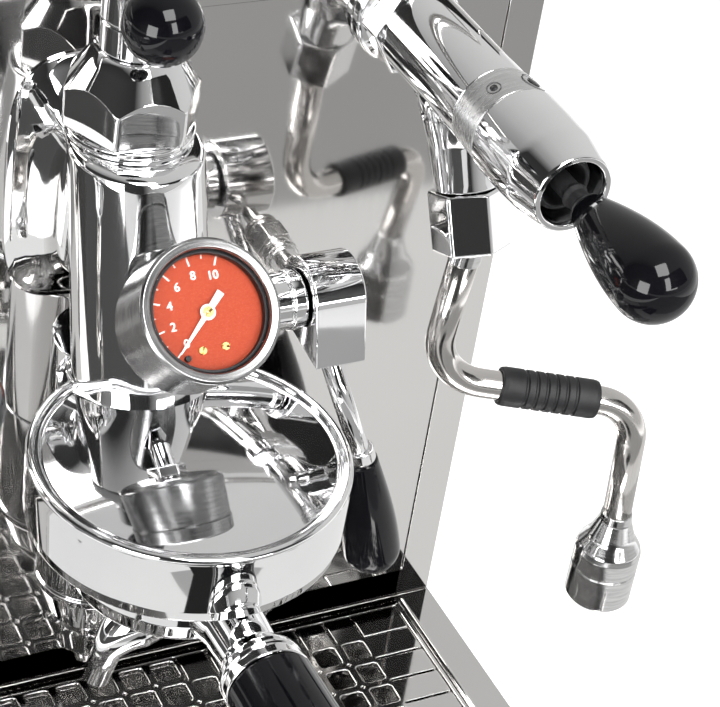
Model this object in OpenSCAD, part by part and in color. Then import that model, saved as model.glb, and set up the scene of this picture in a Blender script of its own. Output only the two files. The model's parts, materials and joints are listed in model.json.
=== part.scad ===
// Two-sided espresso machine with a lever brew group.
// +Z is up, -Y is the side the user stands on, +X is the user's right.
// The origin lies under the middle of the whole machine, on the worktop.

/* [Case] */
// Width across the two side panels
body_w = 300; // [296:1:312]
// Depth of the case behind the front panel
body_d = 256; // [250:1:300]
// Height of the case above the deck
body_h = 286; // [284:1:300]
// Reach of the base in front of the front panel
deck_reach = 190; // [184:1:210]
// Height of the base tub
base_h = 55; // [50:1:60]
// Height of the feet
foot_h = 30; // [20:1:40]
// Sheet metal thickness
sheet = 1.5; // [1:0.1:2]
// Width of the side panels' front flanges
flange_w = 13; // [10:1:16]
// Width of the base's side flanges
deck_flange_w = 12; // [10:1:14]
// Height of the cup rail above the top plate
rail_h = 24; // [18:1:30]

/* [Brew group] */
// Distance from the front panel to the centre of the bell
bell_y = 83.8; // [82:0.1:86]
// Radius of the bell's rim
bell_r = 48.2; // [47:0.1:49]
// Height of the bell's rim above the deck
bell_top = 167.4; // [167:0.1:169]
// Height of the bell's band
bell_band = 22.5; // [22:0.1:23]
// Distance from the front panel to the lever's axis
cam_y = 35.3; // [35:0.1:36]
// Height of the lever's axis above the deck
cam_z = 180; // [179:0.1:181]
// Distance from the front panel to the cap nut's axis
cap_y = 19.5; // [19:0.1:20]
// Length of the portafilter's handle
grip_len = 134; // [120:1:140]

/* [Valves] */
// Distance of each valve from the machine's centre plane
valve_x = 97; // [96:0.5:98]
// Height of the valves above the deck
valve_z = 259; // [258:0.5:260]
// Outside radius of the wand tubes
wand_r = 4.9; // [4.5:0.1:5]

/* [Hidden] */

$fn = 64;
eps = 0.01;
gap = 0.4;
half_w = body_w / 2;
deck_z = foot_h + base_h;
grip_start = 66;
handle_tip = bell_y + grip_start + grip_len;
screw_head = 2;
// The front panel stands where the handle's tip and the rear screws are equally far from the origin
panel_y = (handle_tip - body_d - screw_head) / 2;
panel_edge = half_w - flange_w - gap;

// Drip tray and grate
tray_half = half_w - deck_flange_w - 3;
bead_r = 1.3;
tray_back = 4.5;
grate_half = tray_half - 2.3;
grate_t = 2;
hole_pitch = 12;
hole_side = 9;
hole_cols = 9;
hole_rows = 12;
first_row = 23.6;
// A short row, in the middle only, behind the full rows
short_row = 3;
seat_gap = 0.7;

// Tank, behind the boiler
tank_w = 140;
tank_d = 76;
tank_h = base_h + body_h - sheet - 4 - 3.3;
tank_y = body_d - sheet - 11 - tank_d;
rail_back = 5;
tank_wall = 2.5;
tank_z = -base_h + sheet + 4;
lid_t = 3;
lid_lip = 7;

// Boiler, lying across the case
boiler_r = 56;
boiler_len = 210;
boiler_y = 76;
boiler_z = 150;

// Pressure gauge: its axis rises forward at 45 degrees
gauge_r = 20.5;
gauge_len = 25;
gauge_face = [0, -86.5, 221.8];
gauge_tilt = 45;
needle_rest = 135; // degrees from straight up, so that it points at zero

// Power switch
rocker_tilt = 8;

// Brew group casting
neck_z = 214;
column_y = 46;
column_r = 21.5;
socket_r = 18.6;
nut_r = 21.2;
flow_knob_at = [-6.5, -50.4, 293];
flow_hub_r = 11.2;
flow_knob_r = 11.5;

// Portafilter: height of its handle's axis
pf_axis = 135;

// Lever: the rod leans outward from straight down, and the handle less so
hub_x = [55.4, 73];
hub_r = 13.5;
rod_start = [64, -37, cam_z - 13];
rod_end = [87, -37.5, 110];
handle_end = [99.5, -37.5, 57.5];
rod_tip = rod_end + 0.2 * (handle_end - rod_end);

// Valves
// The outlet leaves the valve's axis and leans forward; the wand hangs from a ball in its nut,
// tilted from the outlet. The tube runs down to a first bend, out through the grip to a second,
// and down to the nozzle.
outlet_at = [valve_x, -38, valve_z];
ball = [valve_x + 3.6, -57, valve_z - 49.3];
nut_from = 37;
nut_h = 19.5;
nut_af = 21.5;
first_bend = [96.5, -54.6, 155];
grip_ends = [[118.5, -62.8, 152.3], [149.5, -74.4, 148.5]];
second_bend = [163.1, -79.5, 146.8];
wand_bend = 16;
wand_path = round_path([ball, first_bend, second_bend, [160.2, -86.4, 107]], wand_bend);
nozzle_top = [160.2, -86.4, 106];

function unit(v) = v / norm(v);
// One corner of a path, as points on an arc that is tangent to both legs
function corner(a, b, c, r) =
    let (p = unit(a - b), q = unit(c - b), half = acos(p * q) / 2,
         cut = min(r / tan(half), 0.48 * min(norm(a - b), norm(c - b))), rad = cut * tan(half),
         mid = unit(p + q), centre = b + mid * rad / sin(half), sweep = 90 - half,
         side = unit(p - q))
    [for (k = [-3:3]) centre + rad * (-mid * cos(sweep * k / 3) - side * sin(sweep * k / 3))];
function round_path(pts, r) = concat([pts[0]],
    [for (i = [1:len(pts) - 2], p = corner(pts[i - 1], pts[i], pts[i + 1], r)) p],
    [pts[len(pts) - 1]]);

// Radius along a teardrop that swells from its neck into a sphere
function drop_r(s, len, big, neck) =
    s > len - big ? sqrt(max(0, big * big - pow(s - len + big, 2)))
        : neck + (big - neck) * pow(sin(90 * s / (len - big)), 1.5);

module at_deck() { translate([0, panel_y, deck_z]) children(); }
module on_side(side) { if (side > 0) children(); else mirror([1, 0, 0]) children(); }

// Runs children's +Z from one point towards another
module aim(from, to) {
    d = to - from;
    translate(from) rotate([0, acos(d[2] / norm(d)), atan2(d[1], d[0])]) children();
}
module rod(from, to, r1, r2) { aim(from, to) cylinder(h = norm(to - from), r1 = r1, r2 = r2); }
module box(low, high) { translate(low) cube(high - low); }
module hexagon(af, h) { cylinder(h = h, r = af / sqrt(3), $fn = 6); }

module teardrop(len, big, neck) {
    steps = 24;
    rotate_extrude() polygon(concat([[0, 0]],
        [for (i = [0:steps - 1]) [drop_r(len * i / steps, len, big, neck), len * i / steps]],
        [for (a = [30:10:80]) [big * 0.72 * cos(a), len - big * (1 - sin(a)) * 0.72]],
        [[0, len]]));
}

// A round tube swept along a path of points
module sweep(path, r, sides) {
    n = len(path);
    ref = [0.35, 0.94, 0];
    rings = [for (i = [0:n - 1])
        let (t = unit(path[min(i + 1, n - 1)] - path[max(i - 1, 0)]), u = unit(cross(t, ref)),
             v = cross(t, u))
        for (k = [0:sides - 1]) path[i] + r * (cos(360 * k / sides) * u + sin(360 * k / sides) * v)];
    faces = concat([[for (k = [0:sides - 1]) k]],
        [[for (k = [sides - 1:-1:0]) (n - 1) * sides + k]],
        [for (i = [0:n - 2], k = [0:sides - 1])
            let (a = i * sides + k, b = i * sides + (k + 1) % sides) [a, a + sides, b + sides, b]]);
    polyhedron(points = rings, faces = faces);
}

// ---------- case ----------
module base_pan() color("silver") at_deck() difference() {
    union() {
        box([-half_w, -deck_reach + 2, -base_h], [half_w, body_d, 0]);
        for (x = [-1, 1]) translate([x * (tray_half + 0.6 + bead_r), -deck_reach + 2.2, -0.2])
            rotate([-90, 0, 0]) cylinder(h = deck_reach - 6, r = bead_r);
    }
    box([-half_w + sheet, sheet + 1, -base_h + sheet], [half_w - sheet, body_d - sheet, 1]);
    box([-half_w + sheet, -deck_reach, -base_h + sheet], [half_w - sheet, -sheet, -sheet]);
    box([-tray_half - 0.5, -deck_reach, -2 * sheet], [tray_half + 0.5, -tray_back + 1.5, 5]);
    for (x = [-1, 1], y = [-deck_reach + 30, body_d - 30])
        translate([x * (half_w - 32), y, -base_h - 1]) cylinder(h = 5, r = 4.2);
}

module feet() color("dimgray") at_deck()
    for (x = [-1, 1], y = [-deck_reach + 30, body_d - 30]) translate([x * (half_w - 32), y, 0]) {
        translate([0, 0, -deck_z]) cylinder(h = 8, r1 = 18, r2 = 19);
        translate([0, 0, -deck_z + 8 - eps]) cylinder(h = foot_h - 8 + eps, r1 = 14, r2 = 12);
        translate([0, 0, -base_h - eps]) cylinder(h = sheet - 0.1, r = 4);
    }

module front_panel() color("gainsboro") at_deck() difference() {
    box([-panel_edge, 0, gap], [panel_edge, sheet, body_h]);
    translate([0, 5, neck_z]) rotate([90, 0, 0]) cylinder(h = 10, r = 20.2);
    for (x = [-1, 1]) translate([x * valve_x, 5, valve_z]) rotate([90, 0, 0])
        cylinder(h = 10, r = 9.3);
    translate([62.6, 5, 176]) rotate([90, 0, 0]) cylinder(h = 10, r = 4.3);
    }

module side_panel() at_deck() {
    box([half_w - sheet, 0, gap], [half_w, body_d, body_h]);
    box([half_w - flange_w, 0, gap], [half_w, sheet, body_h]);
}
module side_panel_right() color("silver") side_panel();
module side_panel_left() color("silver") difference() {
    mirror([1, 0, 0]) side_panel();
    at_deck() box([-half_w - 1, 34.9, 29.9], [-half_w + 3, 48.1, 49.1]);
}

module rear_panel() color("silver") at_deck() difference() {
    box([-half_w + sheet + gap, body_d - sheet, gap],
        [half_w - sheet - gap, body_d, body_h - sheet - gap]);
    for (row = [0:6], x = [-90:36:90]) box([x - 12, body_d - 5, 150 + 12 * row],
        [x + 12, body_d + 1, 155 + 12 * row]);
    box([80, body_d - 5, 18], [108, body_d + 1, 42]);
}

module top_plate() color("silver") at_deck() difference() {
    box([-half_w + sheet + gap, sheet + gap, body_h - sheet],
        [half_w - sheet - gap, body_d, body_h]);
    box([-tank_w / 2 - 4, tank_y - 4, body_h - 5], [tank_w / 2 + 4, tank_y + tank_d + 4, body_h + 1]);
    for (row = [0:4], x = [-100:25:100]) box([x - 8, 20 + 26 * row, body_h - 5],
        [x + 8, 25 + 26 * row, body_h + 1]);
}

// A rounded rail on posts around the top plate
module cup_rail() color("silver") at_deck() {
    x = half_w - 9;
    front = 9;
    back = body_d - rail_back;
    bend = 14;
    translate([0, (front + back) / 2, body_h + rail_h - 3]) for (s = [-1, 1]) {
        long = (back - front) / 2 - bend;
        wide = x - bend;
        translate([s * x, -long, 0]) rotate([-90, 0, 0]) cylinder(h = 2 * long, r = 3);
        translate([-wide, s * (long + bend), 0]) rotate([0, 90, 0]) cylinder(h = 2 * wide, r = 3);
        for (t = [-1, 1]) translate([s * wide, t * long, 0])
            rotate([0, 0, (s > 0 ? 0 : 90) + (s * t > 0 ? 0 : -90) + (s < 0 ? 90 : 0)])
                rotate_extrude(angle = 90) translate([bend, 0]) circle(r = 3);
    }
    for (s = [-1, 1], y = [front + 30, (front + back) / 2, back - 30])
        translate([s * x, y, body_h]) cylinder(h = rail_h - 4, r = 2.2);
}

module splash_ledge() color("silver") at_deck() {
    box([-tray_half - 3, -3, 0.6], [tray_half + 3, 0, 12.7]);
    translate([-tray_half - 3, -1.5, 12.7]) rotate([0, 90, 0]) cylinder(h = 2 * tray_half + 6, r = 1.5);
}

module power_bezel() color("black") at_deck() difference() {
    box([-half_w - 1, 32, 27], [-half_w, 51, 52]);
    box([-half_w - 5, 35, 30], [-half_w + 3, 48, 49]);
}
// The rocker's barrel turns inside the case; its face is a shallow V, tipped to "off" at rest
module power_rocker() color("black") at_deck() translate([-half_w + 4, 41.5 + 6.2, 39.5])
    rotate([0, -rocker_tilt, 0]) rotate([90, 0, 0]) linear_extrude(height = 12.4) intersection() {
        circle(r = 9.2);
        polygon([[10, -12], [10, 12], [-5 - 12 * tan(rocker_tilt), 12], [-5, 0],
            [-5 - 12 * tan(rocker_tilt), -12]]);
    }

module power_inlet() color("black") at_deck() difference() {
    union() {
        box([78, body_d, 16], [110, body_d + 1.8, 44]);
        box([80.4, body_d - 24, 18.4], [107.6, body_d + eps, 41.6]);
    }
    box([82.5, body_d - 16, 20.5], [105.5, body_d + 5, 39.5]);
}

module case_screws() color("dimgray") at_deck() {
    for (x = [-1, 1], z = [12, body_h / 2, body_h - 14]) translate([x * (half_w - 12), body_d, z])
        rotate([-90, 0, 0]) difference() {
            cylinder(h = screw_head, r = 3.5);
            translate([0, 0, 1]) hexagon(2.5, 2);
        }
}

// ---------- drip tray ----------
module drip_tray() color("silver") at_deck() difference() {
    union() {
        box([-tray_half, -deck_reach + 20, -base_h + sheet + 0.2], [tray_half, -tray_back, 0]);
        box([-half_w, -deck_reach, -base_h], [half_w, -deck_reach + sheet, 0]);
        box([-tray_half, -deck_reach + eps, -base_h + sheet + 0.2], [tray_half, -deck_reach + 21, 0]);
    }
    box([-tray_half + sheet + 1.5, -deck_reach + 22.5, -base_h + 5.5],
        [tray_half - sheet - 1.5, -tray_back - 2.5, 1]);
    box([-grate_half - seat_gap, -deck_reach + 21 - seat_gap, -grate_t],
        [grate_half + seat_gap, -tray_back - 0.8, 1]);
    translate([0, -deck_reach - 6, -6]) rotate([0, 90, 0])
        cylinder(h = 70, r = 12, center = true);
    box([-tray_half + sheet, -deck_reach + sheet, -base_h + sheet - 1],
        [tray_half - sheet, -deck_reach + 19, -19]);
}

module grate_hole(i, y) { translate([i * hole_pitch, -y]) square(hole_side, center = true); }
module drip_grate() color("silver") at_deck() translate([0, 0, -grate_t + 0.05])
    linear_extrude(height = grate_t + 0.35) difference() {
        translate([-grate_half, -deck_reach + 21])
            square([2 * grate_half, deck_reach - 21 - tray_back - 0.8 - seat_gap]);
        for (i = [-hole_cols:hole_cols], j = [0:hole_rows - 1])
            grate_hole(i, first_row + j * hole_pitch);
        for (i = [-short_row:short_row]) grate_hole(i, first_row - hole_pitch);
    }

// ---------- tank, boiler, pump ----------
module water_tank() color("whitesmoke") at_deck() difference() {
    box([-tank_w / 2, tank_y, tank_z], [tank_w / 2, tank_y + tank_d, tank_z + tank_h]);
    box([-tank_w / 2 + tank_wall, tank_y + tank_wall, tank_z + tank_wall],
        [tank_w / 2 - tank_wall, tank_y + tank_d - tank_wall, tank_z + tank_h + 1]);
}
module tank_lid() color("silver") at_deck() {
    inset = tank_wall + 0.6;
    box([-tank_w / 2 - 3, tank_y - 3, body_h - lid_t],
        [tank_w / 2 + 3, tank_y + tank_d + 3, body_h]);
    box([-tank_w / 2 + inset, tank_y + inset, body_h - lid_t - lid_lip],
        [tank_w / 2 - inset, tank_y + tank_d - inset, body_h - lid_t + eps]);
    translate([0, tank_y + tank_d / 2, body_h - eps]) cylinder(h = 10, r1 = 8, r2 = 10);
}
module boiler() color("chocolate") at_deck() difference() {
    union() {
        translate([-boiler_len / 2, boiler_y, boiler_z]) rotate([0, 90, 0])
            cylinder(h = boiler_len, r = boiler_r);
        for (s = [-1, 1]) translate([s * boiler_len / 2, boiler_y, boiler_z]) rotate([0, 90, 0])
            cylinder(h = 6, r = boiler_r + 4, center = true);
    }
    translate([-boiler_len / 2 + 2, boiler_y, boiler_z]) rotate([0, 90, 0])
        cylinder(h = boiler_len - 4, r = boiler_r - 2);
    translate([boiler_len / 2 - 5, boiler_y, boiler_z]) rotate([0, 90, 0]) cylinder(h = 20, r = 20.2);
}
module boiler_brackets() color("gray") at_deck() difference() {
    for (s = [-1, 1]) box([s * 30 - 8, boiler_y - 24, -base_h + sheet],
        [s * 30 + 8, boiler_y + 24, boiler_z - boiler_r + 14]);
    translate([-60, boiler_y, boiler_z]) rotate([0, 90, 0]) cylinder(h = 120, r = boiler_r + 0.05);
}
module heating_element() color("gray") at_deck() {
    translate([boiler_len / 2 - 2, boiler_y, boiler_z]) rotate([0, 90, 0]) cylinder(h = 8, r = 20);
    for (s = [-1, 1]) translate([-boiler_len / 2 + 40, boiler_y, boiler_z + s * 9])
        rotate([0, 90, 0]) cylinder(h = boiler_len - 41, r = 4);
    translate([-boiler_len / 2 + 40, boiler_y, boiler_z]) rotate([90, 0, 0]) rotate([0, 0, 90])
        rotate_extrude(angle = 180) translate([9, 0]) circle(r = 4);
}
module safety_valve() color("goldenrod") at_deck() translate([-45, boiler_y, boiler_z + boiler_r + 0.1]) {
    cylinder(h = 5, r = 6);
    translate([0, 0, 5 - eps]) hexagon(17, 8);
    translate([0, 0, 13 - 2 * eps]) cylinder(h = 20, r = 6.5);
}
module pump() color("dimgray") at_deck() {
    translate([-70, 60, -base_h + 40]) rotate([-90, 0, 0]) cylinder(h = 80, r = 28);
    translate([-70, 50, -base_h + 40]) rotate([-90, 0, 0]) cylinder(h = 10 + eps, r = 16);
    translate([-70, 140 - eps, -base_h + 40]) rotate([-90, 0, 0]) cylinder(h = 12, r = 10);
    box([-94, 68, -base_h + sheet], [-46, 130, -base_h + 30]);
}
module control_box() color("darkgray") at_deck()
    box([88, 40, -base_h + sheet], [142, 150, -base_h + 58]);

// Pipes from the boiler to the group and to the two valves
module copper_pipes() color("peru") at_deck() {
    top = boiler_z + boiler_r + 0.1;
    for (x = [-valve_x, valve_x]) {
        translate([x, boiler_y, top]) cylinder(h = valve_z - top + 4, r = 4);
        rod([x, boiler_y, valve_z], [x, 10.2, valve_z], 4, 4);
    }
    translate([0, boiler_y, top]) cylinder(h = neck_z - top + 5, r = 5);
    rod([0, boiler_y, neck_z], [0, 12.2, neck_z], 5, 5);
}

// ---------- brew group ----------
// The column: a short shoulder under the nut, then a shaft that leans forward down to the bell
module column_ring(y, z, r) translate([0, -y, z]) cylinder(h = 1, r = r);
module column(grow) {
    hull() {
        column_ring(cap_y, 239, socket_r + grow);
        column_ring(27, 232, column_r - 1 + grow);
    }
    hull() {
        column_ring(27, 232, column_r - 1 + grow);
        column_ring(column_y, 162, column_r + grow);
    }
}
// The casting: column, neck, rear flange and the socket of the lower chamber
module group_body() color("silver") at_deck() {
    column(0);
    translate([0, -cap_y, 239]) cylinder(h = 5, r = socket_r + 0.6);
    translate([0, -cap_y, 112]) cylinder(h = 60, r = socket_r);
    box([-26, -cap_y, 176], [26, -5, 243]);
    difference() {
        box([-31, -8, 168], [31, 0, 258]);
        translate([0, -cap_y, 243.9]) cylinder(h = 20, r = nut_r + gap);
    }
    translate([0, 0, neck_z]) rotate([-90, 0, 0]) cylinder(h = 12, r = 20);
}

// The bell: a low dome inside a raised rim, hollow underneath
module group_bell() color("silver") at_deck() difference() {
    dome_r = bell_r - 3.2;
    dome_z = bell_top - 1.8;
    translate([0, -bell_y, 0]) rotate_extrude() polygon(concat(
        [[0, bell_top - 7.5]],
        [for (k = [0:8]) let (r = dome_r * k / 8) [r, dome_z + (dome_r * dome_r - r * r) / 600]],
        [for (a = [150:-15:0]) [bell_r - 1.6 + 1.6 * cos(a), bell_top - 1.6 + 1.6 * sin(a)]],
        [[bell_r, bell_top - bell_band], [37.6, bell_top - bell_band], [37.6, bell_top - 7.5]]));
    translate([0, -cap_y, 100]) cylinder(h = 80, r = socket_r + 0.2);
    translate([0, -column_y, 161]) cylinder(h = 20, r = column_r + 0.2);
}

// A hexagon whose top is turned to a cone
module cap_nut() color("silver") at_deck() translate([0, -cap_y, 244.2]) intersection() {
    rotate([0, 0, -4.2]) cylinder(h = 24.3, r = nut_r, $fn = 6);
    union() {
        cylinder(h = 11.2, r = nut_r);
        translate([0, 0, 11.2 - eps]) cylinder(h = 13.5, r1 = nut_r, r2 = 12);
    }
}

module flow_hub() color("silver") at_deck() {
    translate([0, -cap_y, 268.8]) cylinder(h = 31, r = flow_hub_r);
    translate([0, -cap_y, 299.8 - eps]) cylinder(h = 3, r1 = flow_hub_r, r2 = 8);
    rod([0, -cap_y, 293], [0, -cap_y, 293] + 0.72 * (flow_knob_at - [0, -cap_y, 293]), 3.5, 3.5);
}
module flow_knob() color("black") at_deck() difference() {
    translate(flow_knob_at) sphere(r = flow_knob_r);
    rod([0, -cap_y, 293], [0, -cap_y, 293] + 0.725 * (flow_knob_at - [0, -cap_y, 293]), 3.53, 3.53);
}

module group_gasket() color("black") at_deck() translate([0, -bell_y, 151.2]) difference() {
    cylinder(h = 8.5, r = 37.3);
    translate([0, 0, -1]) cylinder(h = 12, r = 29.5);
}
module shower_screen() color("silver") at_deck() translate([0, -bell_y, 154.2]) difference() {
    cylinder(h = 5.4, r = 29.2);
    translate([0, 0, 1]) cylinder(h = 6, r = 28.2);
    for (ring = [1:4], k = [0:6 * ring - 1]) rotate([0, 0, 60 * k / ring])
        translate([ring * 6, 0, -1]) cylinder(h = 3, r = 1, $fn = 16);
}

// ---------- lower chamber ----------
module lower_chamber() color("silver") at_deck() translate([0, -cap_y, 0]) {
    translate([0, 0, 66]) cylinder(h = 45.8, r = socket_r);
    translate([0, 0, 52]) cylinder(h = 14 + eps, r1 = 13.6, r2 = socket_r);
    translate([0, 0, 48.5]) hexagon(24.5, 3.5 + eps);
    translate([0, 0, 35]) hexagon(17, 13.5 + eps);
}
module drain_pipe() color("silver") at_deck() translate([0, -cap_y, 26.6]) cylinder(h = 8.3, r = 3.3);

// ---------- brew lever ----------
module cam_housing() color("silver") at_deck() difference() {
    translate([19.2, -cam_y, cam_z]) rotate([0, 90, 0]) union() {
        cylinder(h = 32, r = 9.25);
        translate([0, 0, 31]) cylinder(h = 4.6, r = 9.7);
    }
    column(0.1);
    translate([10, -cam_y, cam_z]) rotate([0, 90, 0]) cylinder(h = 60, r = 5.05);
}
// Outline of the hub across the lever's axis: a round back and a corner towards the user's feet
module lever_hub() color("silver") at_deck() {
    translate([hub_x[0], -cam_y, cam_z]) rotate([90, 0, 90])
        linear_extrude(height = hub_x[1] - hub_x[0]) union() {
            circle(r = hub_r);
            intersection() {
                polygon([[0, 0], [-hub_r * cos(14.8), hub_r * sin(14.8)], [-18.2, -15.8],
                    [hub_r * sin(4), -hub_r * cos(4)]]);
                circle(r = 23);
            }
        }
    translate([30, -cam_y, cam_z]) rotate([0, 90, 0]) cylinder(h = hub_x[0] - 30 + eps, r = 5);
}
module lever_rod() color("silver") at_deck() difference() {
    rod(rod_start, rod_tip, 3.5, 3.5);
    translate([hub_x[0] - 1, -cam_y, cam_z]) rotate([0, 90, 0]) cylinder(h = 30, r = hub_r);
}
module lever_handle() color("black") at_deck() difference() {
    aim(rod_end, handle_end) teardrop(norm(handle_end - rod_end), 10.2, 5.4);
    rod(rod_start, rod_tip + 0.5 * unit(rod_tip - rod_start), 3.54, 3.54);
}
module switch_bush() color("silver") at_deck() difference() {
    translate([62.6, 0, 176]) rotate([90, 0, 0]) {
        hexagon(12.5, 4);
        cylinder(h = 10, r = 5);
        translate([0, 0, 7]) cylinder(h = 2, r = 6);
        translate([0, 0, -8]) cylinder(h = 8 + eps, r = 4);
    }
    translate([62.6, 10, 176]) rotate([90, 0, 0]) cylinder(h = 30, r = 2.65);
}
module switch_plunger() color("silver") at_deck() translate([62.6, 6, 176]) rotate([90, 0, 0]) {
    cylinder(h = 24, r = 2.6);
    translate([0, 0, 24 - eps]) cylinder(h = 3.2, r1 = 2.6, r2 = 1.6);
}

// ---------- pressure gauge ----------
// +Z of the gauge's own frame runs out of its face; the face is at 0
module at_gauge() { at_deck() translate(gauge_face) rotate([gauge_tilt, 0, 0]) children(); }
module gauge_case() color("lightgray") at_gauge() difference() {
    union() {
        translate([0, 0, -gauge_len]) cylinder(h = gauge_len, r = gauge_r);
        translate([0, 0, -7]) cylinder(h = 7, r = gauge_r + 0.5);
        translate([0, 0, -gauge_len - 1.5]) cylinder(h = 1.5 + eps, r1 = gauge_r - 2, r2 = gauge_r);
    }
    translate([0, 0, -5]) cylinder(h = 6, r = gauge_r - 2.2);
}
module gauge_dial() color("tomato") at_gauge() translate([0, 0, -5]) difference() {
    cylinder(h = 0.8, r = gauge_r - 2.4);
    translate([0, 0, -1]) cylinder(h = 3, r = 1);
}
module gauge_needle() color("white") at_gauge() rotate([0, 0, needle_rest]) {
    translate([0, 0, -4.9]) cylinder(h = 1.6, r = 0.9);
    translate([0, 0, -3.8]) cylinder(h = 1, r = 2.2);
    translate([0, 0, -3.7]) linear_extrude(height = 0.5)
        polygon([[-1, 0], [-0.25, 15], [0.25, 15], [1, 0], [1.5, -7], [-1.5, -7]]);
}
module gauge_glass() color("white", 0.3) at_gauge() translate([0, 0, -1.6])
    cylinder(h = 1.2, r = gauge_r - 2.4);
module gauge_fitting() color("silver") at_deck() {
    back = gauge_face + (gauge_len + 1.6) * [0, sin(gauge_tilt), -cos(gauge_tilt)];
    foot = back + 30 * [0, sin(gauge_tilt), -cos(gauge_tilt)];
    aim(back, foot) hexagon(13, 5);
    difference() {
        union() {
            rod(back, foot, 4, 4);
            aim(back, foot) translate([0, 0, 20]) cylinder(h = 10, r1 = 6.5, r2 = 8.5);
        }
        column(0.1);
    }
}

// ---------- portafilter ----------
module on_pf(y) { translate([0, -bell_y - y, pf_axis]) rotate([90, 0, 0]) children(); }
module portafilter_body() color("silver") at_deck() difference() {
    union() {
        translate([0, -bell_y, 126]) cylinder(h = 24.8, r = 35);
        translate([0, -bell_y, 119]) cylinder(h = 7 + eps, r1 = 29, r2 = 35);
        for (a = [0, 180]) translate([0, -bell_y, 145.2]) rotate([0, 0, a]) intersection() {
            cylinder(h = 4.5, r = 37.2);
            box([20, -12, 0], [40, 12, 5]);
        }
        on_pf(28) cylinder(h = 31, r1 = 9.4, r2 = 8.8);
        on_pf(55) cylinder(h = 6, r1 = 9.2, r2 = 12.3);
        on_pf(61 - eps) cylinder(h = 4.8, r1 = 12.3, r2 = 13.2);
    }
    translate([0, -bell_y, 124]) cylinder(h = 40, r = 30.6);
}
module filter_basket() color("silver") at_deck() translate([0, -bell_y, 0]) difference() {
    union() {
        translate([0, 0, 126]) cylinder(h = 25, r = 30.2);
        translate([0, 0, 150.85]) cylinder(h = 0.3, r = 34.5);
    }
    translate([0, 0, 127]) cylinder(h = 40, r = 29.2);
}
module portafilter_spout() color("silver") at_deck() translate([0, -bell_y, 0]) {
    translate([0, 0, 104]) cylinder(h = 14.8, r = 11);
    for (s = [-1, 1]) {
        rod([0, 0, 110.3], [s * 19, 0, 99], 10, 7);
        translate([s * 19, 0, 99]) sphere(r = 7.3);
        rod([s * 19, 0, 99], [s * 24, 0, 85], 6.8, 4.2);
    }
}
module portafilter_handle() color("black") at_deck() on_pf(grip_start) {
    cylinder(h = grip_len - 24, r1 = 13.4, r2 = 14.6);
    translate([0, 0, grip_len - 24 - eps]) cylinder(h = 14, r1 = 14.6, r2 = 12.5);
    translate([0, 0, grip_len - 10 - 2 * eps]) cylinder(h = 9.8, r1 = 12.5, r2 = 6);
}

// ---------- steam and hot-water valves ----------
module valve() at_deck() {
    translate([valve_x, 0, valve_z]) rotate([90, 0, 0]) difference() {
        union() {
            cylinder(h = 5, r = 17);
            translate([0, 0, 5 - eps]) hexagon(29, 10);
            translate([0, 0, 15 - 2 * eps]) cylinder(h = 47, r = 13.8);
            translate([0, 0, 62 - 3 * eps]) cylinder(h = 13, r = 14.3);
            translate([0, 0, 75 - 4 * eps]) cylinder(h = 20, r = 15);
            translate([0, 0, 95 - 5 * eps]) cylinder(h = 14, r1 = 15, r2 = 12.5);
            translate([0, 0, -10]) cylinder(h = 10 + eps, r = 9);
        }
        translate([0, 0, 90]) cylinder(h = 30, r = 10);
        translate([0, 0, -12]) cylinder(h = 12, r = 4.1);
    }
    aim(outlet_at, ball) translate([0, 0, 8]) cylinder(h = nut_from - 8.1, r1 = 12, r2 = 10);
    translate([valve_x - 3.5, 0, valve_z]) rotate([90, 0, 90]) linear_extrude(height = 7)
        polygon([[-14, -8], [-14, -15], [-34, -24], [-46, -34], [-40, -8]]);
}
module valve_right() color("silver") valve();
module valve_left() color("silver") on_side(-1) valve();
module outlet_nuts() color("silver") for (s = [-1, 1]) on_side(s) at_deck() difference() {
    aim(outlet_at, ball) translate([0, 0, nut_from]) hexagon(nut_af, nut_h);
    rod(ball + 0.4 * unit(ball - first_bend), first_bend, wand_r + 0.35, wand_r + 0.35);
}
module valve_boots() color("black") for (s = [-1, 1]) on_side(s) at_deck()
    translate([valve_x, -90.2, valve_z]) rotate([90, 0, 0]) difference() {
        cylinder(h = 14, r = 9.8);
        translate([0, 0, -1]) cylinder(h = 16, r1 = 3.8, r2 = 9);
    }
module joystick() at_deck() translate([valve_x, -94, valve_z]) rotate([90, 0, 0]) {
    sphere(r = 3.6);
    cylinder(h = 24, r = 3.2);
    translate([0, 0, 22.5]) teardrop(47.5, 12.2, 5.4);
}
module joystick_right() color("black") joystick();
module joystick_left() color("black") on_side(-1) joystick();

// ---------- wands ----------
module wand() at_deck() sweep(wand_path, wand_r, 16);
module wand_right() color("silver") wand();
module wand_left() color("silver") on_side(-1) wand();
module wand_grip() at_deck() difference() {
    rod(grip_ends[0], grip_ends[1], 6.5, 6.5);
    rod(2 * grip_ends[0] - grip_ends[1], 2 * grip_ends[1] - grip_ends[0], wand_r + 0.02, wand_r + 0.02);
}
module wand_grip_right() color("black") wand_grip();
module wand_grip_left() color("black") on_side(-1) wand_grip();
module wand_nozzle() at_deck() translate(nozzle_top) mirror([0, 0, 1]) difference() {
    union() {
        cylinder(h = 13, r1 = 5.6, r2 = 11.35);
        translate([0, 0, 13 - eps]) cylinder(h = 21, r = 11.35);
        translate([0, 0, 34 - 2 * eps]) cylinder(h = 1.5, r1 = 11.35, r2 = 9.8);
    }
    translate([0, 0, 33]) cylinder(h = 5, r = 8.6);
}
module wand_nozzle_right() color("silver") wand_nozzle();
module wand_nozzle_left() color("silver") on_side(-1) wand_nozzle();

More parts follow.
